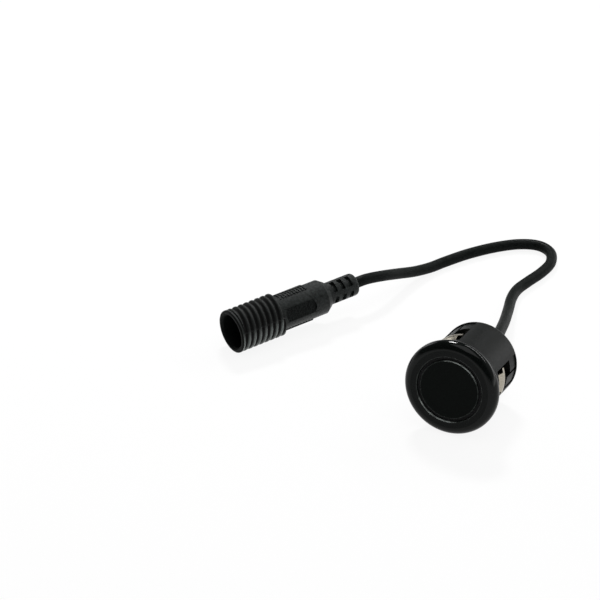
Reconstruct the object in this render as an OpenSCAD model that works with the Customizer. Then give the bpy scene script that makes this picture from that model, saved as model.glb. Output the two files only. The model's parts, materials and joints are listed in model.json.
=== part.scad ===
// Parking sensor: a round push-in head on a captive cable that ends in a threaded socket.
// Millimetres. The head and the socket lie on the floor, z = 0, and the face looks to -Y.
// Each sub-part is drawn on its own axis and put in place by head_frame or socket_frame.

/* [Flange] */
// outer diameter of the flange
flange_d = 24; // [22.5:0.1:28]
// thickness of the flange
flange_t = 2.8; // [2.5:0.1:4]
// rounding of the flange's front rim
rim_round = 2; // [1:0.1:2.1]
// rounding of the flange's inner edge, round the sensing face
inner_round = 0.25; // [0.1:0.05:0.4]
// rounding of the flange's back edge
back_round = 0.4; // [0.2:0.05:0.4]
// width of the shallow relief ring on the flange's back, beside the seat
relief_w = 0.4; // [0.3:0.05:0.5]
// depth of that relief ring
relief_t = 0.1; // [0.05:0.01:0.14]

/* [Barrel] */
// diameter of the plain seat behind the flange, for a 20 mm panel hole
seat_d = 19.9; // [19.5:0.1:20.5]
// length of the seat
seat_l = 5; // [4.6:0.1:5.1]
// step from the seat down to the barrel, on the radius
seat_step = 0.2; // [0.18:0.01:0.3]
// length from the flange's back to the rear edge
barrel_l = 18.4; // [17.4:0.1:24]
// rounding of the rear edge
rear_round = 0.5; // [0.3:0.05:0.6]

/* [Clip pockets] */
// distance from the flange's back to a pocket
pocket_start = 5.2; // [5.15:0.05:6]
// length of a pocket along the barrel
pocket_l = 8.8; // [8.4:0.1:9]
// width of a pocket, across the barrel
pocket_w = 7.3; // [7.1:0.1:7.6]
// radius of a pocket's floor
pocket_floor = 7.2; // [7:0.05:7.4]
// wall left under a pocket's floor
pocket_wall = 1; // [0.8:0.05:1.2]
// how far the bridge behind a pocket lies below the barrel
bridge_drop = 0.3; // [0.1:0.05:0.5]
// how much nearer to the flange the long half of a bridge reaches
bridge_reach = 2.1; // [1.6:0.1:2.3]
// slit that splits the bridge
slit_w = 0.6; // [0.4:0.05:1]
// depth of the slit
slit_depth = 1.5; // [1.45:0.05:1.7]
// depth of the slot under the bridge for a clip's tail
tail_depth = 1.8; // [1.6:0.1:2]
// height of that slot
tail_gap = 0.8; // [0.7:0.05:0.9]

/* [Spring clips] */
// width of a clip's crest
clip_w = 6.9; // [6.5:0.1:7]
// width of a clip's ramp, on the flange's side of the crest
ramp_w = 4.9; // [4.4:0.1:5.4]
// thickness of the strip
clip_t = 0.4; // [0.3:0.05:0.5]
// front of a crest, from the pocket's front wall
crest_at = 2.8; // [2.6:0.1:3.2]
// length of a crest
crest_l = 0.8; // [0.6:0.1:1.1]
// length of the steep fall behind a crest
fall_l = 2; // [1.8:0.1:2.2]
// how far the ramp's free end lies below the crest
ramp_fall = 1; // [0.8:0.1:1.2]
// how far a crest stands above the seat
crest_over = 0.05; // [0:0.05:0.15]

/* [Transducer] */
// diameter of the cup whose end is the sensing face
cup_d = 15.1; // [14.4:0.1:15.3]
// height of the cup
cup_h = 6.2; // [5.8:0.1:6.4]
// thickness of the sensing face
cup_face = 0.7; // [0.5:0.05:0.9]
// wall of the cup
cup_wall = 1; // [0.8:0.05:1.2]
// rounding of the sensing face's edge
cup_round = 0.25; // [0.1:0.05:0.3]
// wall of the soft ring round the cup
ring_wall = 0.65; // [0.5:0.05:0.75]
// how deep the soft ring lies below the face
ring_recess = 0.5; // [0.3:0.05:0.8]
// thickness of the soft ring's base under the cup
ring_base = 0.8; // [0.6:0.05:0.9]
// diameter of the ceramic disc
piezo_d = 7; // [6:0.1:8]
// thickness of the ceramic disc
piezo_t = 0.5; // [0.3:0.05:0.6]
// thickness of the damping pad
pad_t = 4.2; // [3.6:0.1:4.4]

/* [Rear cover] */
// thickness of the cover's lip at the rear edge
lip_t = 0.7; // [0.6:0.05:0.9]
// diameter of the cover's spigot
spigot_d = 14.7; // [14.2:0.1:15]
// length of the spigot
spigot_l = 1.2; // [1:0.1:1.4]
// diameter of the cable boss
boss_d = 6.4; // [6:0.1:7]
// length of the cable boss
boss_l = 2; // [1.6:0.1:2.4]
// diameter of the grommet's sleeve
grommet_d = 4; // [3.6:0.1:4.2]
// diameter of the grommet's two collars
collar_d = 5.2; // [4.8:0.1:5.6]
// thickness of a collar
collar_t = 0.8; // [0.6:0.05:1]

/* [Cable] */
// cable diameter
cable_d = 2.9; // [2.7:0.1:3.2]
// diameter of a wire inside the head
wire_d = 0.8; // [0.6:0.05:0.9]
// distance between the two wires
wire_gap = 1.5; // [1.2:0.05:1.6]

/* [Socket sleeve] */
// thread diameter over the crests
thread_d = 11.4; // [11.1:0.1:12]
// thread depth
thread_depth = 0.65; // [0.4:0.05:0.7]
// distance from ridge to ridge
thread_pitch = 1.55; // [1.5:0.05:1.8]
// number of ridges
ridges = 8; // [6:1:9]
// plain lip at the mouth
mouth_lip = 0.8; // [0.7:0.1:2]
// plain neck behind the thread
neck_l = 0.1; // [0:0.1:1]
// diameter of the mouth's bore
mouth_d = 8.8; // [8.6:0.1:9]
// depth of the mouth's bore
mouth_depth = 6.5; // [5.5:0.1:7]
// diameter of the narrower bore behind it, which holds the insulator
core_d = 8; // [7.8:0.1:8.2]
// chamfer of the mouth
mouth_chamfer = 0.5; // [0.2:0.05:0.6]
// width of the two gaps along the thread, where the mould parts
split_w = 0.7; // [0.4:0.05:1]

/* [Socket grip] */
// grip diameter
grip_d = 9.2; // [9:0.1:9.8]
// grip length
grip_l = 15.5; // [14.5:0.1:17]
// length of the taper at the grip's rear
taper_l = 1.5; // [1.2:0.1:2.4]
// depth of the taper
taper_depth = 1; // [0.6:0.1:1.2]
// distance from the sleeve to a side panel
panel_start = 0.9; // [0.6:0.1:1.4]
// length of a side panel
panel_l = 9.2; // [8:0.1:10]
// width of a side panel
panel_w = 5.2; // [4.4:0.1:5.4]
// depth of a side panel
panel_depth = 0.35; // [0.2:0.05:0.5]
// distance from the sleeve to the first rib
rib_start = 1.2; // [0.8:0.1:1.6]
// number of ribs on a flank
ribs = 10; // [6:1:11]
// distance from rib to rib
rib_pitch = 0.85; // [0.75:0.05:0.9]
// height of a rib
rib_h = 0.25; // [0.15:0.05:0.35]
// width of a flank's ribs
rib_w = 4.2; // [3.6:0.1:4.6]
// strain relief diameter
boot_d = 6; // [5.8:0.1:6.4]
// strain relief length
boot_l = 9.2; // [9:0.1:11]
// rounding of the strain relief's end
boot_round = 0.9; // [0.5:0.1:1]
// width of a slot in the strain relief
slot_w = 1.2; // [0.8:0.05:1.3]
// distance from slot row to slot row
slot_pitch = 2.35; // [2.1:0.05:2.4]
// depth of a slot
slot_depth = 0.8; // [0.6:0.05:0.9]
// angle left between two slots of a row
spine_angle = 26; // [20:1:40]

/* [Socket contacts] */
// centre pin diameter
pin_d = 1.3; // [1:0.05:1.4]
// how far the pin's tip lies behind the insulator's front
pin_back = 0.8; // [0.4:0.1:1.2]
// inner diameter of the outer contact, for a 3.5 mm plug
contact_d = 3.6; // [3.5:0.05:3.8]
// wall of the outer contact
contact_wall = 0.3; // [0.2:0.05:0.4]
// insulator left behind the outer contact
contact_floor = 0.5; // [0.3:0.1:1]
// diameter of a lead inside the grip
lead_d = 0.6; // [0.5:0.05:0.7]
// distance of the second lead from the axis
lead_off = 1.1; // [1.05:0.05:1.15]

/* [Clearances] */
// radial clearance of the soft ring in the housing and round the cup
ring_clear = 0.05; // [0.02:0.01:0.1]
// radial clearance of the other pieces set into the head
seat_clear = 0.05; // [0.02:0.01:0.1]
// radial clearance of the pieces inside the socket
core_clear = 0.05; // [0.02:0.01:0.1]
// radial clearance round wires and leads
wire_clear = 0.05; // [0.02:0.01:0.1]

/* [Hidden] */
eps = 0.02;

// head, along its axis: 0 is the flange's back, + is towards the face
flange_r = flange_d / 2;
seat_r = seat_d / 2;
barrel_r = seat_r - seat_step;
cup_r = cup_d / 2;
ring_in = cup_r + ring_clear;
ring_out = ring_in + ring_wall;
bore_r = ring_out + ring_clear;
cup_z = flange_t - cup_h;
seat_z = cup_z - ring_base;
core_r = pocket_floor - pocket_wall;
base_r = core_r - 0.6;
seam_z = lip_t - barrel_l;
spigot_r = spigot_d / 2;
spigot_z = seam_z + spigot_l;
pocket_z = -pocket_start - pocket_l;
pocket_half = asin(pocket_w / 2 / barrel_r);
// side of the long half of the bridge at the right, upper and lower clip: away from the top wall, none below
long_half = [-1, 1, 0];
boss_z = -barrel_l - boss_l;
exit_z = boss_z - collar_t;
inner_collar_z = spigot_z + collar_t;
wire_x = wire_gap / 2;
wire_end = flange_t - cup_face - piezo_t;
crest_r = seat_r + crest_over - clip_t / 2;
crest_half = asin(clip_w / 2 / barrel_r);
ramp_half = asin(ramp_w / 2 / barrel_r);
foot_r = pocket_floor + seat_clear + clip_t / 2;

// the head lies on its flange and on its rear edge
lie_r = (flange_r - back_round) - (barrel_r - rear_round);
lie_z = back_round + barrel_l - rear_round;
tilt = atan2(lie_r, lie_z) + asin((back_round - rear_round) / norm([lie_r, lie_z]));
axis_h = (flange_r - back_round) * cos(tilt) - back_round * sin(tilt) + back_round;
front_y = (flange_r - rim_round) * sin(tilt) + (flange_t - rim_round) * cos(tilt) + rim_round;
rear_y = collar_d / 2 * sin(tilt) - exit_z * cos(tilt);
mid_y = (rear_y - front_y) / 2;

// socket, along its axis: 0 is the mouth, - is towards the cable
thread_r = thread_d / 2;
root_r = thread_r - thread_depth;
mouth_r = mouth_d / 2;
lip_edge = 0.35;
sleeve_l = mouth_lip + ridges * thread_pitch + neck_l;
grip_r = grip_d / 2;
boot_r = boot_d / 2;
boot_z = -sleeve_l - grip_l;
socket_end = boot_z - boot_l;
insulator_r = core_d / 2 - core_clear;
contact_r = contact_d / 2 + contact_wall;
contact_z = contact_floor - sleeve_l;
contact_l = -contact_z - mouth_depth - 0.5;
socket_turn = -31.8;
socket_tilt = 3.6;
socket_roll = 16;
socket_at = [-64.5, 1.7, thread_r * cos(socket_tilt) - lip_edge * sin(socket_tilt)];

// where the cable leaves the head and where it meets the socket
exit_at = [0, -exit_z * cos(tilt) - mid_y, axis_h + exit_z * sin(tilt)];
exit_dir = [0, cos(tilt), -sin(tilt)];
socket_dir = [-sin(socket_turn) * cos(socket_tilt), cos(socket_turn) * cos(socket_tilt), sin(socket_tilt)];
entry_at = socket_at - socket_end * socket_dir;
// cable route on the floor
low = cable_d / 2 + 0.05;
route = [exit_at, exit_at + 7 * exit_dir, [-1.8, 28, 6.9], [-3.8, 37, 4.8], [-6.1, 46, 2.9], [-8.1, 54, 1.9],
         [-8.6, 59.7, low], [-7.5, 65.1, low], [-6, 71.2, low], [-5.6, 77.2, low], [-7.6, 82.6, low],
         [-11.8, 85.1, low], [-16.9, 83.8, low], [-22.2, 79.5, low], [-27.5, 73, low], [-31.7, 66, low],
         [-33.9, 61.2, 1.7], [-36.1, 55.3, 2.9], [-38, 49.2, 4.9], [-39.9, 42.4, 7.2],
         entry_at + 4 * socket_dir + [0, 0, -0.1], entry_at];
route_steps = 3;

module head_frame() {
  translate([0, -mid_y, axis_h])
    rotate([90 - tilt, 0, 0])
      children();
}

module socket_frame() {
  translate(socket_at)
    rotate([90 + socket_tilt, 0, socket_turn])
      rotate([0, 0, socket_roll])
        children();
}

function arc(c, r, a0, a1, n) =
  [for (i = [0 : n]) let (a = a0 + (a1 - a0) * i / n) [c[0] + r * cos(a), c[1] + r * sin(a)]];

// part of a ring about the axis, half an opening to each side of +X
module sector(points, half) {
  rotate([0, 0, -half])
    rotate_extrude(angle = 2 * half, $fn = 72) polygon(points);
}

function box(r0, r1, z0, z1) = [[r0, z0], [r1, z0], [r1, z1], [r0, z1]];

module housing() {
  section = concat(
    [[core_r, seat_z], [bore_r, seat_z]],
    arc([bore_r + inner_round, flange_t - inner_round], inner_round, 180, 90, 4),
    arc([flange_r - rim_round, flange_t - rim_round], rim_round, 90, 0, 9),
    arc([flange_r - back_round, back_round], back_round, 0, -90, 3),
    [[seat_r + relief_w, 0], [seat_r + relief_w, relief_t], [seat_r, relief_t], [seat_r, -seat_l],
     [barrel_r, -seat_l], [barrel_r, seam_z],
     [spigot_r + seat_clear, seam_z], [spigot_r + seat_clear, spigot_z], [core_r, spigot_z]]);
  bridge_r = barrel_r - bridge_drop;
  color("#17181a")
    head_frame()
      difference() {
        rotate_extrude($fn = 72) polygon(section);
        for (i = [0 : 2])
          rotate([0, 0, 120 * i]) {
            difference() {
              sector(box(pocket_floor, barrel_r + 1, pocket_z, -pocket_start), pocket_half);
              rotate([0, 0, long_half[i] * (pocket_half / 2 + 1)])
                sector(box(pocket_floor + tail_gap, barrel_r + 2, pocket_z - 1,
                           pocket_z + bridge_reach * abs(long_half[i]) - eps), pocket_half / 2 + 1);
            }
            sector(box(pocket_floor, pocket_floor + tail_gap, pocket_z - tail_depth, pocket_z + eps), pocket_half);
            sector(box(bridge_r, barrel_r + 1, seam_z - eps, -pocket_start), pocket_half);
            translate([bridge_r - slit_depth, -slit_w / 2, seam_z - eps])
              cube([barrel_r, slit_w, -pocket_start - seam_z]);
          }
      }
}

module rear_cover() {
  section = concat(
    [[grommet_d / 2 + seat_clear, spigot_z], [spigot_r, spigot_z], [spigot_r, seam_z], [barrel_r, seam_z]],
    arc([barrel_r - rear_round, rear_round - barrel_l], rear_round, 0, -90, 4),
    [[boss_d / 2 + 0.4, -barrel_l], [boss_d / 2, -barrel_l - 0.4], [boss_d / 2, boss_z + 0.2],
     [boss_d / 2 - 0.2, boss_z], [grommet_d / 2 + seat_clear, boss_z]]);
  color("#1b1c1e")
    head_frame()
      rotate_extrude($fn = 72) polygon(section);
}

function unit(v) = v / norm(v);

function side_of(p, i) = let (d = unit(p[i + 1] - p[i])) [-d[1], d[0]];

// point i of a bent line, moved sideways by h
function beside(p, i, h) =
  let (n = len(p) - 1, a = side_of(p, max(i - 1, 0)), b = side_of(p, min(i, n - 1)))
    p[i] + h * (a + b) / (1 + a * b);

// outline of a strip of thickness t along a bent line
function strip(p, t) = let (n = len(p) - 1)
  concat([for (i = [0 : n]) beside(p, i, t / 2)], [for (i = [n : -1 : 0]) beside(p, i, -t / 2)]);

// spring strip, narrower in front of its crest
module clip(turn) {
  crest_z = -pocket_start - crest_at;
  line = [[crest_r - ramp_fall, -pocket_start - 0.4], [crest_r, crest_z], [crest_r, crest_z - crest_l],
          [foot_r, crest_z - crest_l - fall_l], [foot_r, pocket_z - tail_depth + 0.4]];
  notch = (crest_half + 2 - ramp_half) / 2;
  head_frame()
    rotate([0, 0, turn])
      difference() {
        sector(strip(line, clip_t), crest_half);
        for (side = [-1, 1])
          rotate([0, 0, side * (ramp_half + notch)])
            sector(box(pocket_floor, seat_r + 1, crest_z, -pocket_start), notch);
      }
}

module clip_right() {
  color("#b9b4a8") clip(0);
}

module clip_upper() {
  color("#b9b4a8") clip(120);
}

module clip_lower() {
  color("#b9b4a8") clip(240);
}

module transducer_cup() {
  section = concat(
    [[0, flange_t - cup_face], [cup_r - cup_wall, flange_t - cup_face], [cup_r - cup_wall, cup_z], [cup_r, cup_z]],
    arc([cup_r - cup_round, flange_t - cup_round], cup_round, 0, 90, 3),
    [[0, flange_t]]);
  color("#1d1e20")
    head_frame()
      rotate_extrude($fn = 64) polygon(section);
}

module decoupling_ring() {
  section = [[base_r, seat_z], [ring_out, seat_z], [ring_out, flange_t - ring_recess],
             [ring_in, flange_t - ring_recess], [ring_in, cup_z], [base_r, cup_z]];
  color("#101112")
    head_frame()
      rotate_extrude($fn = 64) polygon(section);
}

module piezo_disc() {
  color("#c9b98f")
    head_frame()
      translate([0, 0, wire_end])
        cylinder(h = piezo_t, d = piezo_d, $fn = 32);
}

module wire_holes(h) {
  for (x = [-wire_x, wire_x])
    translate([x, 0, -eps])
      cylinder(h = h + 2 * eps, d = wire_d + 2 * wire_clear, $fn = 16);
}

module damping_pad() {
  color("#5c5f60")
    head_frame()
      translate([0, 0, cup_z])
        difference() {
          cylinder(h = pad_t, r = cup_r - cup_wall - seat_clear, $fn = 48);
          wire_holes(pad_t);
        }
}

module potting() {
  pot_l = seat_z - inner_collar_z;
  color("#2b2c2e")
    head_frame()
      translate([0, 0, inner_collar_z])
        difference() {
          cylinder(h = pot_l, r = core_r - seat_clear, $fn = 48);
          wire_holes(pot_l);
        }
}

module head_wire(x) {
  head_frame()
    translate([x, 0, exit_z])
      cylinder(h = wire_end - exit_z, d = wire_d, $fn = 16);
}

module signal_wire() {
  color("#c8c6c0") head_wire(wire_x);
}

module ground_wire() {
  color("#3a3a3a") head_wire(-wire_x);
}

module cable_grommet() {
  section = [[0, exit_z], [collar_d / 2, exit_z], [collar_d / 2, boss_z], [grommet_d / 2, boss_z],
             [grommet_d / 2, spigot_z], [collar_d / 2, spigot_z], [collar_d / 2, inner_collar_z],
             [0, inner_collar_z]];
  color("#141414")
    head_frame()
      difference() {
        rotate_extrude($fn = 48) polygon(section);
        translate([0, 0, exit_z]) wire_holes(inner_collar_z - exit_z);
      }
}

function bend(a, b, c, d, t) =
  0.5 * (2 * b + (c - a) * t + (2 * a - 5 * b + 4 * c - d) * t * t + (3 * b - a - 3 * c + d) * t * t * t);

// round tube swept along the route
module pigtail_cable() {
  last = len(route) - 1;
  ends = concat([route[0] - 7 * exit_dir], route, [route[last] - 5 * socket_dir]);
  line = concat([for (i = [0 : last - 1]) for (k = [0 : route_steps - 1])
                   bend(ends[i], ends[i + 1], ends[i + 2], ends[i + 3], k / route_steps)], [route[last]]);
  n = len(line);
  sides = 8;
  heading = [for (i = [0 : n - 1]) i == 0 ? exit_dir : i == n - 1 ? -socket_dir : unit(line[i + 1] - line[i - 1])];
  side = [for (h = heading) unit(cross(h, [0, 0, 1]))];
  lift = [for (i = [0 : n - 1]) cross(side[i], heading[i])];
  points = [for (i = [0 : n - 1]) for (s = [0 : sides - 1]) let (a = 360 * s / sides)
              line[i] + cable_d / 2 * (cos(a) * side[i] + sin(a) * lift[i])];
  skin = [for (i = [0 : n - 2]) for (s = [0 : sides - 1]) let (t = (s + 1) % sides)
            each [[i * sides + s, i * sides + t, (i + 1) * sides + t],
                  [i * sides + s, (i + 1) * sides + t, (i + 1) * sides + s]]];
  caps = [[for (s = [sides - 1 : -1 : 0]) s], [for (s = [0 : sides - 1]) (n - 1) * sides + s]];
  color("#1a1a1b")
    polyhedron(points = points, faces = concat(skin, caps), convexity = 10);
}

module threaded_sleeve() {
  crest = thread_pitch * 0.16;
  flank = thread_pitch * 0.22;
  ridge_points = [for (i = [0 : ridges - 1]) let (m = -mouth_lip - (i + 0.5) * thread_pitch)
                    each [[root_r, m + crest + flank], [thread_r, m + crest],
                          [thread_r, m - crest], [root_r, m - crest - flank]]];
  section = concat(
    [[core_d / 2, -sleeve_l], [core_d / 2, -mouth_depth], [mouth_r, -mouth_depth], [mouth_r, -mouth_chamfer],
     [mouth_r + mouth_chamfer, 0], [thread_r - lip_edge, 0], [thread_r, -lip_edge], [thread_r, -mouth_lip + 0.2],
     [root_r, -mouth_lip]],
    ridge_points,
    [[root_r, -sleeve_l]]);
  color("#232425")
    socket_frame()
      difference() {
        rotate_extrude($fn = 56) polygon(section);
        for (a = [0, 180])
          rotate([0, 0, a])
            translate([root_r, -split_w / 2, -sleeve_l + neck_l])
              cube([thread_depth + 1, split_w, ridges * thread_pitch]);
      }
}

module grip_moulding() {
  section = concat(
    [[0, socket_end]],
    arc([boot_r - boot_round, socket_end + boot_round], boot_round, -90, 0, 4),
    [[boot_r, boot_z], [grip_r - taper_depth, boot_z], [grip_r, boot_z + taper_l], [grip_r, -sleeve_l],
     [0, -sleeve_l]]);
  panel_z = -sleeve_l - panel_start - panel_l / 2;
  color("#262728")
    socket_frame()
      difference() {
        union() {
          rotate_extrude($fn = 48) polygon(section);
          for (a = [90, 270])
            rotate([0, 0, a]) flank_ribs();
        }
        for (a = [0, 180])
          rotate([0, 0, a])
            translate([grip_r - panel_depth, 0, panel_z])
              side_panel();
        for (i = [0 : 2])
          translate([0, 0, boot_z - 1.9 - i * slot_pitch])
            slot_row();
        lead_holes(socket_end - eps, -sleeve_l + eps);
      }
}

module flank_ribs() {
  half = asin(rib_w / 2 / grip_r);
  for (i = [0 : ribs - 1])
    translate([0, 0, -sleeve_l - rib_start - (i + 0.5) * rib_pitch])
      sector(box(grip_r - 0.4, grip_r + rib_h, -rib_pitch / 4, rib_pitch / 4), half);
}

module side_panel() {
  straight = panel_l - panel_w;
  rotate([0, 90, 0])
    union() {
      for (s = [-1, 1])
        translate([s * straight / 2, 0, 0])
          cylinder(h = grip_r, d = panel_w, $fn = 32);
      translate([-straight / 2, -panel_w / 2, 0])
        cube([straight, panel_w, grip_r]);
    }
}

// four slots round the strain relief, with a spine between them
module slot_row() {
  for (a = [45 : 90 : 315])
    rotate([0, 0, a])
      sector(box(boot_r - slot_depth, boot_r + 1, -slot_w / 2, slot_w / 2), 45 - spine_angle / 2);
}

module lead_holes(z0, z1) {
  for (x = [0, lead_off])
    translate([x, 0, z0])
      cylinder(h = z1 - z0, d = lead_d + 2 * wire_clear, $fn = 16);
}

module socket_core() {
  color("#1a1b1c")
    socket_frame()
      difference() {
        translate([0, 0, -sleeve_l])
          cylinder(h = sleeve_l - mouth_depth, r = insulator_r, $fn = 48);
        translate([0, 0, contact_z])
          cylinder(h = contact_l + 1, r = contact_r + core_clear, $fn = 40);
        translate([0, 0, -sleeve_l - eps])
          cylinder(h = sleeve_l, d = pin_d + 2 * core_clear, $fn = 24);
        translate([lead_off, 0, -sleeve_l - eps])
          cylinder(h = sleeve_l + contact_z + 2 * eps, d = lead_d + 2 * wire_clear, $fn = 16);
      }
}

module centre_pin() {
  tip_z = -mouth_depth - pin_back;
  pin_r = pin_d / 2;
  section = [[0, -sleeve_l], [pin_r, -sleeve_l], [pin_r, tip_z - 0.35], [pin_r - 0.3, tip_z], [0, tip_z]];
  color("#c8c4ba")
    socket_frame()
      rotate_extrude($fn = 24) polygon(section);
}

module outer_contact() {
  top_z = contact_z + contact_l;
  section = [[lead_off - 0.1, contact_z], [contact_r, contact_z], [contact_r, top_z],
             [contact_d / 2, top_z], [contact_d / 2, contact_z + 0.5], [lead_off - 0.1, contact_z + 0.5]];
  color("#bfc1c2")
    socket_frame()
      rotate_extrude($fn = 40) polygon(section);
}

module core_lead() {
  color("#b0703a")
    socket_frame()
      translate([0, 0, socket_end])
        cylinder(h = -sleeve_l - socket_end, d = lead_d, $fn = 16);
}

module shield_lead() {
  color("#b0703a")
    socket_frame()
      translate([lead_off, 0, socket_end])
        cylinder(h = contact_z - socket_end, d = lead_d, $fn = 16);
}

housing();
rear_cover();
clip_right();
clip_upper();
clip_lower();
transducer_cup();
decoupling_ring();
piezo_disc();
damping_pad();
potting();
signal_wire();
ground_wire();
cable_grommet();
pigtail_cable();
threaded_sleeve();
grip_moulding();
socket_core();
centre_pin();
outer_contact();
core_lead();
shield_lead();
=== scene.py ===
"""Push-in parking sensor: a gloss black head with spring clips, its cable, and the threaded socket on
the cable's end. Lengths are in millimetres where a name says nothing else; MM turns them to metres."""

import json
import math

import bpy
from mathutils import Matrix, Vector


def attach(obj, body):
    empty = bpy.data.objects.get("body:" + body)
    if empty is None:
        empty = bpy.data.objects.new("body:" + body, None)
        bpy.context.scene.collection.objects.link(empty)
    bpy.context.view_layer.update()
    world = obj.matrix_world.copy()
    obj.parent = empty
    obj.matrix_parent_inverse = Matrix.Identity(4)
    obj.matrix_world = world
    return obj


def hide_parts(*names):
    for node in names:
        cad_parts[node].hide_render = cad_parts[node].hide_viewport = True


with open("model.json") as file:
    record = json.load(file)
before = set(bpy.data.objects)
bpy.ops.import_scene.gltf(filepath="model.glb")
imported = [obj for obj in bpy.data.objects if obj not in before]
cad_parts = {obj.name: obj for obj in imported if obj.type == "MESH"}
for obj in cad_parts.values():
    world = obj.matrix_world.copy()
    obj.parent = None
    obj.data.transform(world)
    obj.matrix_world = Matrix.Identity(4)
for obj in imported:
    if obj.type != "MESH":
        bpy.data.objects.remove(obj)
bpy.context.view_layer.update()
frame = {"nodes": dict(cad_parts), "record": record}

MM = 0.001
scene = bpy.context.scene
nodes = frame["nodes"]
mounts = {mount["name"]: mount for mount in frame["record"]["mounts"]}


def linear(hex_colour):
    """An sRGB hex colour as the linear RGBA that a socket takes."""
    parts = [int(hex_colour[i : i + 2], 16) / 255 for i in (1, 3, 5)]
    return [c / 12.92 if c <= 0.04045 else ((c + 0.055) / 1.055) ** 2.4 for c in parts] + [1.0]


def add(tree, kind, inputs=None, links=None, **settings):
    """Adds one node, with its settings, its input values and the outputs that feed it."""
    made = tree.nodes.new(kind)
    for name, value in settings.items():
        setattr(made, name, value)
    for socket, value in (inputs or {}).items():
        made.inputs[socket].default_value = value
    for socket, output in (links or {}).items():
        tree.links.new(output, made.inputs[socket])
    return made


def put(name, data):
    """Puts an object with that data into the scene."""
    made = bpy.data.objects.new(name, data)
    scene.collection.objects.link(made)
    return made


def per_mm(size):
    """Texture scale at which one cell is that many millimetres across, in the frame's metres."""
    return 1 / (size * MM)


# The two working frames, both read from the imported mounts

# Out of the sensing face, and the middle of the flange's back (the head's axis lies at x = 0)
face_axis = -Vector(mounts["panel_pin"]["axis"]).normalized()
flange_back = Vector(mounts["flange_back"]["pos_m"])
flange_back.x = 0

# Sensing face: the flange's thickness, the cup, the hole round it, the rounding of their edges, and the
# flat ring outside them
flange_t = 2.8
cup_r = 7.55
bore_r = 8.3
edge_round = 0.25
ring_r = 10

# The side of the face on which the edges carry a painted glint
glint_turn = math.radians(66)
across_face = Vector((1, 0, 0))
up_face = across_face.cross(-face_axis).normalized()
glint_side = across_face * math.cos(glint_turn) + up_face * math.sin(glint_turn)

# Out of the socket's mouth, and the middle of that mouth
mouth_chamfer = 0.5
bore = mounts["socket_bore"]
mouth_axis = Vector(bore["axis"]).normalized()
mouth = Vector(bore["pos_m"]) + mouth_axis * (bore["dims"]["length_mm"] / 2 + mouth_chamfer) * MM

# Turn of the socket about its own axis, from level: the sunk panel looks along panel_axis
socket_roll = math.radians(16)
level = Vector((0, 0, 1)).cross(mouth_axis).normalized()
raised = mouth_axis.cross(level)
panel_axis = level * math.cos(socket_roll) + raised * math.sin(socket_roll)
flank_axis = mouth_axis.cross(panel_axis)
socket_frame = Matrix((panel_axis, flank_axis, mouth_axis)).transposed().to_4x4()
socket_frame.translation = mouth


# Camera, at the photograph's viewing angle

camera_azimuth = math.radians(24.61)
camera_height = math.radians(29.5)
camera_distance = 685.82 * MM
camera_lens = 156
camera_film = 36
aim = Vector((-59.64, 33.118, 0)) * MM

toward_camera = Vector(
    (
        math.sin(camera_azimuth) * math.cos(camera_height),
        -math.cos(camera_azimuth) * math.cos(camera_height),
        math.sin(camera_height),
    )
)
camera_data = bpy.data.cameras.new("camera")
camera_data.lens = camera_lens
camera_data.sensor_width = camera_film
camera = put("camera", camera_data)
camera.location = aim + toward_camera * camera_distance
camera.rotation_euler = toward_camera.to_track_quat("Z", "Y").to_euler()
scene.camera = camera


# Cable: from the grommet in the rear cover, round on the floor, and into the socket's strain relief

cable_d = 2.9
floor_z = cable_d / 2 + 0.05

# Where it leaves the head and the socket, which way, and how far it runs straight there: out of the
# head, out of the socket, and on inside the socket. It sinks a little as it comes out of the socket.
cable_exit = Vector((0, 12.369, 9.278))
exit_run = -face_axis
exit_straight = 7
socket_entry = Vector((-44.515, 33.932, 8.053))
entry_run = -mouth_axis
entry_straight = 4
entry_inside = 5
entry_sink = Vector((0, 0, -0.1))

cable_route = [
    cable_exit,
    cable_exit + exit_straight * exit_run,
    Vector((-1.8, 28, 6.9)),
    Vector((-3.8, 37, 4.8)),
    Vector((-6.1, 46, 2.9)),
    Vector((-8.1, 54, 1.9)),
    Vector((-8.6, 59.7, floor_z)),
    Vector((-7.5, 65.1, floor_z)),
    Vector((-6, 71.2, floor_z)),
    Vector((-5.6, 77.2, floor_z)),
    Vector((-7.6, 82.6, floor_z)),
    Vector((-11.8, 85.1, floor_z)),
    Vector((-16.9, 83.8, floor_z)),
    Vector((-22.2, 79.5, floor_z)),
    Vector((-27.5, 73, floor_z)),
    Vector((-31.7, 66, floor_z)),
    Vector((-33.9, 61.2, 1.7)),
    Vector((-36.1, 55.3, 2.9)),
    Vector((-38, 49.2, 4.9)),
    Vector((-39.9, 42.4, 7.2)),
    socket_entry + entry_straight * entry_run + entry_sink,
    socket_entry,
]


def walk(knots):
    """Length along the cable's curve, in short steps from knot to knot."""
    steps = 12
    places = []
    for here, following in zip(knots, knots[1:]):
        for t in [k / steps for k in range(steps)]:
            places.append(
                here.co * (1 - t) ** 3
                + here.handle_right * 3 * t * (1 - t) ** 2
                + following.handle_left * 3 * t * t * (1 - t)
                + following.co * t**3
            )
    places.append(knots[-1].co)
    return sum((b - a).length for a, b in zip(places, places[1:]))


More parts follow.
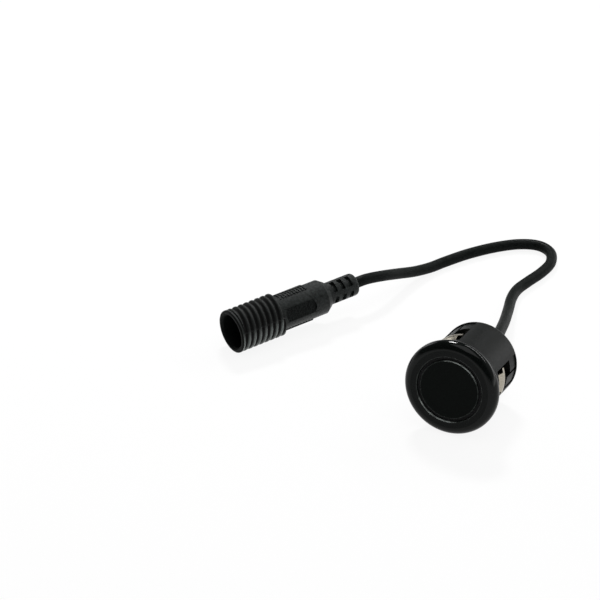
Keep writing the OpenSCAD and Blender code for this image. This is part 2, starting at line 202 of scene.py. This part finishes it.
def lay_cable():
    """The cable as one round curve through its route, held straight where it leaves and enters.
    Returns the cable and its length."""
    before = [cable_route[0] - exit_straight * exit_run] + cable_route[:-1]
    after = cable_route[1:] + [cable_route[-1] - entry_inside * entry_run]
    # Each handle is a third of a step, along the way from the knot before to the knot after
    handle_share = 1 / 3
    curve = bpy.data.curves.new("pigtail", "CURVE")
    curve.dimensions = "3D"
    curve.bevel_depth = cable_d / 2 * MM
    curve.bevel_resolution = 8
    curve.resolution_u = 10
    curve.use_fill_caps = True
    line = curve.splines.new("BEZIER")
    line.bezier_points.add(len(cable_route) - 1)
    for knot, here, last, following in zip(line.bezier_points, cable_route, before, after):
        knot.handle_left_type = knot.handle_right_type = "FREE"
        slope = (following - last) / 2 * handle_share
        knot.co = here * MM
        knot.handle_left = (here - slope) * MM
        knot.handle_right = (here + slope) * MM
    return put("pigtail", curve), walk(list(line.bezier_points))


pigtail, pigtail_length = lay_cable()


# Threaded sleeve: a rounded two-start thread that winds from the mouth's lip to the grip

sleeve_l = 13.3
thread_r = 5.7
thread_depth = 0.85
thread_pitch = 1.65
thread_starts = 2

# In pitches: where the first root lies, half the flat of a root, and the flank from there to the crest
first_root = 0.465
root_flat = 0.04
flank_w = 0.38

# The lip, its rounded edge, and the length over which the thread grows out of it
mouth_lip = 0.8
lip_edge = 0.35
thread_growth = 0.35

# The bore: its wide front, a row of points half way into that, and its narrow rear
mouth_r = 4.4
mouth_depth = 6.5
mid_depth = 3.2
core_r = 4.0

# The mould line down two sides: its width, the blur of its edges, and, as shares of the thread's depth,
# how far it nicks a crest and how high its flash stands in a root
split_w = 0.4
split_blur = 0.12
split_nick = 0.2
split_flash = 0.62

# A bend sharper than this stays a crisp corner
sleeve_corner = math.radians(50)


def clipped(value):
    """The value, held between 0 and 1."""
    return min(1, max(0, value))


def thread_at(turn, z):
    """Radius of the thread at one place round it: rounded crests, open roots, and flash in the roots
    along the mould line."""
    phase = ((z + mouth_lip) / thread_pitch + thread_starts * turn / (2 * math.pi) + first_root) % 1
    from_root = min(phase, 1 - phase)
    flank = clipped((from_root - root_flat) / flank_w)
    rise = flank * flank * (3 - 2 * flank)
    grown = clipped((-mouth_lip - z) / thread_growth)
    ridge = max(rise * grown, 1 - grown)
    off_split = abs(math.sin(turn)) * thread_r - split_w / 2
    on_split = 1 - clipped(off_split / split_blur + 0.5)
    nicked = ridge * (1 - split_nick * on_split) if z < -mouth_lip else ridge
    return thread_r - thread_depth * (1 - max(nicked, split_flash * on_split))


def wind_sleeve():
    """The sleeve as rings of points: from the grip's end up the bore, over the lip and back down the
    thread."""
    around = 144
    pitch_steps = 16
    lip_steps = 5
    hold = 0.02
    chamfer_r = mouth_r + mouth_chamfer

    # Radius and height of the bore's rings, with the corners of the mouth's chamfer eased
    profile = [
        (core_r, -sleeve_l),
        (core_r, -mouth_depth - hold),
        (core_r, -mouth_depth),
        (mouth_r, -mouth_depth),
        (mouth_r, -mouth_depth + hold),
        (mouth_r, -mid_depth),
        (mouth_r, -mouth_chamfer - 0.08),
        (mouth_r + 0.03, -mouth_chamfer + 0.02),
        (chamfer_r - 0.07, -0.1),
        (chamfer_r, -0.02),
        (chamfer_r + 0.08, 0),
        (thread_r - lip_edge, 0),
    ]
    for k in range(1, lip_steps):
        bend = k / lip_steps * math.pi / 2
        out = thread_r - lip_edge + lip_edge * math.sin(bend)
        profile.append((out, lip_edge * (math.cos(bend) - 1)))

    turns = [2 * math.pi * n / around for n in range(around)]
    rings = [[(r, z)] * around for r, z in profile]
    count = round((sleeve_l - lip_edge) / thread_pitch * pitch_steps)
    for k in range(count + 1):
        z = -lip_edge - (sleeve_l - lip_edge) * k / count
        rings.append([(thread_at(turn, z), z) for turn in turns])
    points = [
        socket_frame @ (Vector((r * math.cos(turn), r * math.sin(turn), z)) * MM)
        for ring in rings
        for turn, (r, z) in zip(turns, ring)
    ]
    faces = []
    for k in range(len(rings)):
        this, following = k * around, (k + 1) % len(rings) * around
        for n in range(around):
            beside = (n + 1) % around
            faces.append((this + n, this + beside, following + beside, following + n))

    mesh = bpy.data.meshes.new("wound_sleeve")
    mesh.from_pydata(points, [], faces)
    # The bore and the lip take the second finish
    in_bore = [n < len(profile) * around for n in range(len(faces))]
    mesh.polygons.foreach_set("material_index", in_bore)
    mesh.update()
    mesh.shade_smooth()
    mesh.set_sharp_from_angle(angle=sleeve_corner)
    return put("wound_sleeve", mesh)


wound_sleeve = wind_sleeve()


# Materials

# A noise texture mostly stays between these two
noise_low, noise_high = 0.3, 0.7

# Pale colour of a glint painted along a fine edge of the face: a painted highlight, not wear
glint_pale = "#9ca29f"


def worked(name, dark, light, rough, grain, depth, metal=0.0, gloss=0.5, spread=0.08):
    """A finish in two close tones: one grain gives its mottle, its uneven sheen and its relief.
    Returns the material, its tree, its shader and the outputs that a maker can build on."""
    material = bpy.data.materials.new(name)
    material.use_nodes = True
    tree = material.node_tree
    shader = tree.nodes["Principled BSDF"]
    place = add(tree, "ShaderNodeTexCoord").outputs["Object"]
    grit = add(
        tree,
        "ShaderNodeTexNoise",
        {"Scale": per_mm(grain), "Detail": 4, "Roughness": 0.6},
        {"Vector": place},
    ).outputs["Fac"]
    tones = add(tree, "ShaderNodeValToRGB", links={"Fac": grit})
    tones.color_ramp.elements[0].position = noise_low
    tones.color_ramp.elements[0].color = linear(dark)
    tones.color_ramp.elements[1].position = noise_high
    tones.color_ramp.elements[1].color = linear(light)
    sheen = add(
        tree,
        "ShaderNodeMapRange",
        {
            "From Min": noise_low,
            "From Max": noise_high,
            "To Min": rough - spread,
            "To Max": rough + spread,
        },
        {"Value": grit},
    )
    relief = add(
        tree, "ShaderNodeBump", {"Strength": 0.6, "Distance": depth * MM}, {"Height": grit}
    )
    tree.links.new(tones.outputs["Color"], shader.inputs["Base Color"])
    tree.links.new(sheen.outputs["Result"], shader.inputs["Roughness"])
    tree.links.new(relief.outputs["Normal"], shader.inputs["Normal"])
    shader.inputs["Metallic"].default_value = metal
    shader.inputs["Specular IOR Level"].default_value = gloss
    return material, tree, shader, {
        "place": place,
        "tones": tones.outputs["Color"],
        "sheen": sheen.outputs["Result"],
        "relief": relief.outputs["Normal"],
    }


def from_head_axis(tree, place):
    """A place as seen from the middle of the flange's back: the whole way to it, the part of that way
    across the head's axis, and the length of that part."""
    off = add(
        tree, "ShaderNodeVectorMath", {1: flange_back}, {0: place}, operation="SUBTRACT"
    ).outputs[0]
    run = add(
        tree, "ShaderNodeVectorMath", {1: face_axis}, {0: off}, operation="PROJECT"
    ).outputs[0]
    out = add(tree, "ShaderNodeVectorMath", links={0: off, 1: run}, operation="SUBTRACT").outputs[0]
    radius = add(tree, "ShaderNodeVectorMath", links={0: out}, operation="LENGTH").outputs["Value"]
    return off, out, radius


def in_socket(tree, place):
    """A place in the socket's own frame: X out of the panel, Y up the flank, Z out of the mouth."""
    return add(
        tree,
        "ShaderNodeMapping",
        {"Location": mouth, "Rotation": socket_frame.to_euler()},
        {"Vector": place},
        vector_type="TEXTURE",
    ).outputs["Vector"]


def paint_edge_glint(tree, shader, parts, radii, toward):
    """Paints a fine edge round the head's axis pale as a painted glint: broken along its length, most
    on one side.
    """
    # How far the edge reaches behind the face, and how long its breaks are
    edge_reach = 0.26
    break_size = 1.2
    off, out, radius = from_head_axis(tree, parts["place"])
    along = add(tree, "ShaderNodeVectorMath", {1: face_axis}, {0: off}, operation="DOT_PRODUCT")
    way = add(tree, "ShaderNodeVectorMath", links={0: out}, operation="NORMALIZE").outputs[0]
    side = add(tree, "ShaderNodeVectorMath", {1: toward}, {0: way}, operation="DOT_PRODUCT")
    in_front = add(
        tree,
        "ShaderNodeMath",
        {1: (flange_t - edge_reach) * MM},
        {0: along.outputs["Value"]},
        operation="GREATER_THAN",
    )
    on_edge = add(
        tree,
        "ShaderNodeMath",
        {1: sum(radii) / 2 * MM, 2: (radii[1] - radii[0]) / 2 * MM},
        {0: radius},
        operation="COMPARE",
    )
    share = add(
        tree,
        "ShaderNodeMapRange",
        {"From Min": 0.74, "From Max": 0.88, "To Min": 0.1, "To Max": 1.0},
        {"Value": side.outputs["Value"]},
    )
    breaks = add(
        tree,
        "ShaderNodeTexNoise",
        {"Scale": per_mm(break_size), "Detail": 1},
        {"Vector": parts["place"]},
    )
    broken = add(
        tree,
        "ShaderNodeMapRange",
        {"From Min": 0.35, "From Max": 0.6, "To Min": 0.35, "To Max": 1.0},
        {"Value": breaks.outputs["Fac"]},
    )
    # Strength of the painted glint: in front, on the edge, most on the one side, broken along its
    # length
    painted_highlight = in_front.outputs[0]
    for factor in (on_edge.outputs[0], share.outputs["Result"], broken.outputs["Result"]):
        painted_highlight = add(
            tree, "ShaderNodeMath", links={0: painted_highlight, 1: factor}, operation="MULTIPLY"
        ).outputs[0]
    # The painted glint: pale over the surface's own tones
    colour = add(
        tree,
        "ShaderNodeMix",
        {"B": linear(glint_pale)},
        {"Factor": painted_highlight, "A": parts["tones"]},
        data_type="RGBA",
    )
    tree.links.new(colour.outputs["Result"], shader.inputs["Base Color"])


# How far a painted glint's mask reaches past the wall that the edge ends on
edge_slack = 0.02


def polished_abs(name, gloss):
    """Black ABS from a polished mould: the flange mirrors the light, the barrel behind it is a soft
    satin, and the edge of the hole round the cup carries a pale painted glint on the side opposite the
    cup's glint."""
    material, tree, shader, parts = worked(
        name, "#060908", "#0a0d0c", rough=0.4, grain=1.2, depth=0.002, gloss=gloss, spread=0.04
    )
    along = add(
        tree, "ShaderNodeVectorMath", {1: face_axis}, {0: parts["place"]}, operation="DOT_PRODUCT"
    )
    back = flange_back.dot(face_axis)
    polish = add(
        tree,
        "ShaderNodeMapRange",
        {"From Min": back - 0.3 * MM, "From Max": back, "To Min": 1.0, "To Max": 0.28},
        {"Value": along.outputs["Value"]},
    )
    rough = add(
        tree,
        "ShaderNodeMath",
        links={0: parts["sheen"], 1: polish.outputs["Result"]},
        operation="MULTIPLY",
    )
    # Pale painted glint along the edge of the hole round the cup
    paint_edge_glint(tree, shader, parts, (bore_r - edge_slack, bore_r + edge_round), -glint_side)
    tree.links.new(rough.outputs[0], shader.inputs["Roughness"])
    return material


def lacquered_cup():
    """Black lacquer on the drawn aluminium cup: the darkest surface, with a pale painted glint along
    one side of its edge.
    """
    material, tree, shader, parts = worked(
        "lacquered_aluminium",
        "#040806",
        "#070b09",
        rough=0.14,
        grain=0.6,
        depth=0.003,
        gloss=0.04,
        spread=0.03,
    )
    # Pale painted glint along the cup's edge
    paint_edge_glint(tree, shader, parts, (cup_r - edge_round, cup_r + edge_slack), glint_side)
    return material


def rolled_steel():
    """Spring steel strip, nickel flashed: warm grey metal with fine rolling lines along each strip,
    drawn coarser than the real ones so that they show."""
    material, tree, shader, parts = worked(
        "rolled_spring_steel",
        "#9a9487",
        "#a9a396",
        rough=0.27,
        grain=0.5,
        depth=0.001,
        metal=1.0,
        spread=0.04,
    )
    line_w = 0.25
    line_depth = 0.004
    squeeze = 0.96
    run = add(
        tree, "ShaderNodeVectorMath", {1: face_axis}, {0: parts["place"]}, operation="PROJECT"
    )
    most = add(
        tree,
        "ShaderNodeVectorMath",
        {"Scale": squeeze},
        {0: run.outputs["Vector"]},
        operation="SCALE",
    )
    squeezed = add(
        tree,
        "ShaderNodeVectorMath",
        links={0: parts["place"], 1: most.outputs["Vector"]},
        operation="SUBTRACT",
    )
    lines = add(
        tree,
        "ShaderNodeTexNoise",
        {"Scale": per_mm(line_w), "Detail": 3, "Roughness": 0.7},
        {"Vector": squeezed.outputs["Vector"]},
    )
    relief = add(
        tree,
        "ShaderNodeBump",
        {"Strength": 0.5, "Distance": line_depth * MM},
        {"Height": lines.outputs["Fac"], "Normal": parts["relief"]},
    )
    tree.links.new(relief.outputs["Normal"], shader.inputs["Normal"])
    return material


def grip_pvc():
    """Black PVC moulded over the joint: a dusty, grainy skin, smoother from the mould's lower half, and
    a coarse dull stipple on the sunk panels. Grain and stipple are drawn coarser than the real ones so
    that they show."""
    material, tree, shader, parts = worked(
        "moulded_black_pvc",
        "#050807",
        "#2a2e2d",
        rough=0.34,
        grain=0.6,
        depth=0.14,
        gloss=0.18,
        spread=0.14,
    )
    # The panels: how far they lie from the socket's axis, to within what, and how squarely they face
    # out; then the stipple's spacing and depth
    panel_x = 4.25
    panel_slack = 0.04
    panel_square = 0.99
    stipple_w = 0.55
    stipple_depth = 0.25

    own = in_socket(tree, parts["place"])
    across = add(tree, "ShaderNodeSeparateXYZ", links={0: own})
    depth = add(
        tree, "ShaderNodeMath", links={0: across.outputs["X"]}, operation="ABSOLUTE"
    ).outputs[0]
    at_depth = add(
        tree,
        "ShaderNodeMath",
        {1: panel_x * MM, 2: panel_slack * MM},
        {0: depth},
        operation="COMPARE",
    ).outputs[0]
    skin = add(tree, "ShaderNodeTexCoord").outputs["Normal"]
    looks = add(tree, "ShaderNodeVectorMath", {1: panel_axis}, {0: skin}, operation="DOT_PRODUCT")
    flat = add(
        tree, "ShaderNodeMath", links={0: looks.outputs["Value"]}, operation="ABSOLUTE"
    ).outputs[0]
    square = add(
        tree, "ShaderNodeMath", {1: panel_square}, {0: flat}, operation="GREATER_THAN"
    ).outputs[0]
    on_panel = add(
        tree, "ShaderNodeMath", links={0: at_depth, 1: square}, operation="MULTIPLY"
    ).outputs[0]
    stipple = add(
        tree,
        "ShaderNodeTexVoronoi",
        {"Scale": per_mm(stipple_w), "Randomness": 0.8},
        {"Vector": own},
        feature="F1",
    ).outputs["Distance"]
    pits = add(
        tree, "ShaderNodeMath", links={0: stipple, 1: on_panel}, operation="MULTIPLY"
    ).outputs[0]
    relief = add(
        tree,
        "ShaderNodeBump",
        {"Strength": 1.0, "Distance": stipple_depth * MM},
        {"Height": pits, "Normal": parts["relief"]},
    )
    speckle = add(
        tree,
        "ShaderNodeMix",
        {"A": linear("#010202"), "B": linear("#161a19")},
        {"Factor": stipple},
        data_type="RGBA",
    )
    colour = add(
        tree,
        "ShaderNodeMix",
        links={"Factor": on_panel, "A": parts["tones"], "B": speckle.outputs["Result"]},
        data_type="RGBA",
    )
    half = add(
        tree,
        "ShaderNodeMapRange",
        {"From Min": -2.5 * MM, "From Max": 2.0 * MM, "To Max": 0.68},
        {"Value": across.outputs["Y"], "To Min": parts["sheen"]},
    ).outputs["Result"]
    rough = add(
        tree, "ShaderNodeMapRange", {"To Max": 0.9}, {"Value": on_panel, "To Min": half}
    )
    tree.links.new(colour.outputs["Result"], shader.inputs["Base Color"])
    tree.links.new(rough.outputs["Result"], shader.inputs["Roughness"])
    tree.links.new(relief.outputs["Normal"], shader.inputs["Normal"])
    return material


def thread_nylon():
    """Black nylon thread: dull roots painted near black as painted shade, and crests that are dark and
    dull on top, smooth and painted pale underneath as a painted highlight."""
    material, tree, shader, parts = worked(
        "moulded_black_nylon",
        "#0f1312",
        "#1b201e",
        rough=0.24,
        grain=0.3,
        depth=0.008,
        gloss=0.4,
        spread=0.05,
    )
    own = in_socket(tree, parts["place"])
    across = add(tree, "ShaderNodeVectorMath", {1: (1, 1, 0)}, {0: own}, operation="MULTIPLY")
    radius = add(
        tree, "ShaderNodeVectorMath", links={0: across.outputs["Vector"]}, operation="LENGTH"
    )
    # How far out of the roots: near the roots the colour goes near black as painted shade
    out_of_root_shade = add(
        tree,
        "ShaderNodeMapRange",
        {"From Min": (thread_r - 0.45) * MM, "From Max": (thread_r - 0.05) * MM},
        {"Value": radius.outputs["Value"]},
    ).outputs["Result"]
    height = add(tree, "ShaderNodeSeparateXYZ", links={0: own}).outputs["Y"]
    upper = add(
        tree,
        "ShaderNodeMapRange",
        {"From Min": -2.2 * MM, "From Max": 0.4 * MM},
        {"Value": height},
    ).outputs["Result"]
    # Crests painted pale underneath as a painted highlight, fading to their dark tones towards the top
    painted_highlight = add(
        tree,
        "ShaderNodeMix",
        {"A": linear("#636967")},
        {"Factor": upper, "B": parts["tones"]},
        data_type="RGBA",
    )
    # Roots near black as painted shade; crests in their tones, with the painted highlight underneath
    colour = add(
        tree,
        "ShaderNodeMix",
        {"A": linear("#020303")},
        {"Factor": out_of_root_shade, "B": painted_highlight.outputs["Result"]},
        data_type="RGBA",
    )
    crest = add(
        tree,
        "ShaderNodeMapRange",
        {"From Min": -0.4 * MM, "From Max": 0.4 * MM, "To Max": 0.8},
        {"Value": height, "To Min": parts["sheen"]},
    ).outputs["Result"]
    rough = add(
        tree, "ShaderNodeMapRange", {"To Min": 0.85}, {"Value": out_of_root_shade, "To Max": crest}
    )
    tree.links.new(colour.outputs["Result"], shader.inputs["Base Color"])
    tree.links.new(rough.outputs["Result"], shader.inputs["Roughness"])
    return material


black_abs = polished_abs("polished_black_abs", gloss=0.09)
# The flange's rounded rim, buffed by hands and cloths: the same black, with a harder mirror
buffed_abs = polished_abs("buffed_black_abs", gloss=0.15)
black_lacquer = lacquered_cup()
spring_steel = rolled_steel()
black_pvc = grip_pvc()
black_nylon = thread_nylon()

# Extruded PVC jacket: an even satin black, a little uneven along its length
pvc_jacket = worked(
    "extruded_pvc_jacket", "#101312", "#1a1d1c", rough=0.42, grain=1.4, depth=0.03, gloss=0.03
)[0]
# The thread's nylon on the lip and in the bore, from an eroded core pin: dull, it drinks the light
dull_nylon = worked(
    "eroded_black_nylon", "#080b0a", "#0f1211", rough=0.55, grain=0.4, depth=0.02, gloss=0.06
)[0]
# ABS cap, satin from the same mould texture as the barrel
satin_abs = worked(
    "satin_black_abs", "#080b0a", "#101312", rough=0.35, grain=0.4, depth=0.01, gloss=0.14
)[0]
# Soft silicone, dull and slightly dusty
silicone = worked(
    "black_silicone", "#0b0b0c", "#121213", rough=0.75, grain=0.3, depth=0.02, gloss=0.2
)[0]
# Fired piezo ceramic, a pale biscuit colour
piezo_ceramic = worked(
    "fired_ceramic", "#cfc6ae", "#dcd4c0", rough=0.5, grain=0.3, depth=0.01
)[0]
# Open-cell damping foam, dark and rough
damping_foam = worked("damping_foam", "#3a3b3c", "#545556", rough=0.9, grain=0.6, depth=0.2)[0]
# Cast potting resin, smooth with slow ripples
potting_resin = worked("potting_resin", "#0d0d0d", "#171717", rough=0.35, grain=1.5, depth=0.05)[0]
# Thin wire insulation, an even red satin
wire_pvc = worked("wire_pvc", "#7d1d18", "#8c2520", rough=0.45, grain=0.6, depth=0.01)[0]
# Soft rubber of the grommet, dull
soft_rubber = worked(
    "soft_rubber", "#101312", "#191c1b", rough=0.6, grain=0.3, depth=0.02, gloss=0.3
)[0]
# Nickel plated brass contacts, bright
nickel_plate = worked(
    "nickel_plate", "#c6c2b6", "#d6d2c8", rough=0.22, grain=0.4, depth=0.003, metal=1.0
)[0]
# Tinned copper strands, warm where the tin is thin
tinned_copper = worked(
    "tinned_copper", "#b87a55", "#c98a63", rough=0.3, grain=0.3, depth=0.004, metal=1.0
)[0]

wearing = {
    "housing": black_abs,
    "rear_cover": satin_abs,
    "clip_right": spring_steel,
    "clip_upper": spring_steel,
    "clip_lower": spring_steel,
    "transducer_cup": black_lacquer,
    "decoupling_ring": silicone,
    "piezo_disc": piezo_ceramic,
    "damping_pad": damping_foam,
    "potting": potting_resin,
    "signal_wire": wire_pvc,
    "ground_wire": wire_pvc,
    "cable_grommet": soft_rubber,
    "grip_moulding": black_pvc,
    "socket_core": dull_nylon,
    "centre_pin": nickel_plate,
    "outer_contact": nickel_plate,
    "core_lead": tinned_copper,
    "shield_lead": tinned_copper,
    "pigtail_cable": pvc_jacket,
    "threaded_sleeve": black_nylon,
}


def start_modifier(name):
    """An empty modifier tree that takes and gives a shape, and the shape that comes in."""
    tree = bpy.data.node_groups.new(name, "GeometryNodeTree")
    for way in ("INPUT", "OUTPUT"):
        tree.interface.new_socket("Geometry", in_out=way, socket_type="NodeSocketGeometry")
    return tree, add(tree, "NodeGroupInput").outputs[0]


def soften_facets():
    """A modifier tree that shades a turned or moulded solid smoothly and keeps its true corners
    sharp."""
    same_place = 0.001
    corner_angle = math.radians(32)
    tree, came = start_modifier("soften_facets")
    joined = add(
        tree, "GeometryNodeMergeByDistance", {"Distance": same_place * MM}, {"Geometry": came}
    )
    plain = add(
        tree,
        "GeometryNodeRemoveAttribute",
        {"Name": "custom_normal"},
        {"Geometry": joined.outputs[0]},
    )
    smooth = add(
        tree, "GeometryNodeSetShadeSmooth", links={"Geometry": plain.outputs[0]}, domain="FACE"
    )
    bend = add(tree, "GeometryNodeInputMeshEdgeAngle")
    corner = add(
        tree, "ShaderNodeMath", {1: corner_angle}, {0: bend.outputs[0]}, operation="GREATER_THAN"
    )
    cornered = add(
        tree,
        "GeometryNodeSetShadeSmooth",
        {"Shade Smooth": False},
        {"Geometry": smooth.outputs[0], "Selection": corner.outputs[0]},
        domain="EDGE",
    )
    add(tree, "NodeGroupOutput", links={0: cornered.outputs[0]})
    return tree


def pick_rim():
    """A modifier tree that gives the flange's rounded rim, outside its flat ring, the second finish."""
    tree, came = start_modifier("pick_rim")
    place = add(tree, "GeometryNodeInputPosition").outputs[0]
    radius = from_head_axis(tree, place)[2]
    outside = add(
        tree, "ShaderNodeMath", {1: ring_r * MM}, {0: radius}, operation="GREATER_THAN"
    )
    picked = add(
        tree,
        "GeometryNodeSetMaterialIndex",
        {"Material Index": 1},
        {"Geometry": came, "Selection": outside.outputs[0]},
    )
    add(tree, "NodeGroupOutput", links={0: picked.outputs[0]})
    return tree


nodes["housing"].modifiers.new("pick_rim", "NODES").node_group = pick_rim()
softened = soften_facets()
for name, material in wearing.items():
    solid = nodes[name]
    solid.data.materials.clear()
    solid.data.materials.append(material)
    solid.modifiers.new("soften_facets", "NODES").node_group = softened
    level_flats = solid.modifiers.new("level_flats", "WEIGHTED_NORMAL")
    level_flats.keep_sharp = True
nodes["housing"].data.materials.append(buffed_abs)
pigtail.data.materials.append(pvc_jacket)
wound_sleeve.data.materials.append(black_nylon)
wound_sleeve.data.materials.append(dull_nylon)

for piece, node, slot in (
    (pigtail, "pigtail_cable", "pvc_jacket"),
    (wound_sleeve, "threaded_sleeve", "matte_black_nylon"),
):
    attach(piece, "root")
    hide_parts(node)


# Floor, light and world


def lay_floor():
    """A sheet of white paper that keeps the object's shadow: to the eye, and in a reflection, most of
    its white is even."""
    reach = 3
    even_share = 0.9
    mesh = bpy.data.meshes.new("floor")
    corners = [(-reach, -reach, 0), (reach, -reach, 0), (reach, reach, 0), (-reach, reach, 0)]
    mesh.from_pydata(corners, [], [(0, 1, 2, 3)])
    white_paper = bpy.data.materials.new("white_paper")
    white_paper.use_nodes = True
    tree = white_paper.node_tree
    tree.nodes.clear()
    ray = add(tree, "ShaderNodeLightPath")
    seen = ray.outputs["Is Camera Ray"]
    for kind in ("Is Glossy Ray", "Is Transmission Ray"):
        seen = add(
            tree, "ShaderNodeMath", links={0: seen, 1: ray.outputs[kind]}, operation="MAXIMUM"
        ).outputs[0]
    share = add(tree, "ShaderNodeMath", {1: even_share}, {0: seen}, operation="MULTIPLY")
    paper = add(tree, "ShaderNodeBsdfDiffuse", {"Color": linear("#f2f2f2")})
    glow = add(tree, "ShaderNodeEmission", {"Color": linear("#ffffff"), "Strength": 1.0})
    both = add(
        tree,
        "ShaderNodeMixShader",
        links={0: share.outputs[0], 1: paper.outputs[0], 2: glow.outputs[0]},
    )
    add(tree, "ShaderNodeOutputMaterial", links={"Surface": both.outputs[0]})
    mesh.materials.append(white_paper)
    return put("floor", mesh)


floor = lay_floor()

# Lamps, in metres and watts, all turned to the middle of the object
lamp_aim = Vector((-0.03, 0.03, 0))
for name, place, size, watts in (
    ("back_softbox", (-0.3, 0.5, 0.66), (0.17, 0.1), 5.5),
    ("back_strip", (0.3, 0.68, 0.58), (0.8, 0.04), 1.8),
    ("left_softbox", (-0.62, 0.36, 0.28), (0.25, 0.25), 0.4),
    ("top_fill", (0.1, -0.1, 1.1), (0.9, 0.9), 4.5),
):
    lamp_data = bpy.data.lights.new(name, "AREA")
    lamp_data.shape = "RECTANGLE"
    lamp_data.size, lamp_data.size_y = size
    lamp_data.energy = watts
    lamp = put(name, lamp_data)
    lamp.location = place
    lamp.rotation_euler = (Vector(place) - lamp_aim).to_track_quat("Z", "Y").to_euler()


def light_room():
    """The studio round the object: white low down, grey above, and brightest at the back on the
    right."""
    bright_side = (0.8, 0.6, 0)
    world = bpy.data.worlds.new("studio")
    world.use_nodes = True
    tree = world.node_tree
    tree.nodes.clear()
    facing = add(tree, "ShaderNodeTexCoord").outputs["Generated"]
    direction = add(tree, "ShaderNodeSeparateXYZ", links={0: facing})
    back_right = add(
        tree, "ShaderNodeVectorMath", {1: bright_side}, {0: facing}, operation="DOT_PRODUCT"
    )
    backdrop = add(tree, "ShaderNodeValToRGB", links={"Fac": direction.outputs["Z"]})
    backdrop.color_ramp.elements[0].position = 0.05
    backdrop.color_ramp.elements[0].color = linear("#ffffff")
    backdrop.color_ramp.elements[1].position = 0.2
    backdrop.color_ramp.elements[1].color = linear("#646464")
    window = add(
        tree,
        "ShaderNodeMapRange",
        {"From Min": 0.4, "From Max": 0.8, "To Min": 0.7, "To Max": 3.6},
        {"Value": back_right.outputs["Value"]},
    )
    sky = add(
        tree,
        "ShaderNodeBackground",
        links={"Color": backdrop.outputs["Color"], "Strength": window.outputs["Result"]},
    )
    add(tree, "ShaderNodeOutputWorld", links={"Surface": sky.outputs[0]})
    return world


scene.world = light_room()
scene.view_settings.view_transform = "Standard"
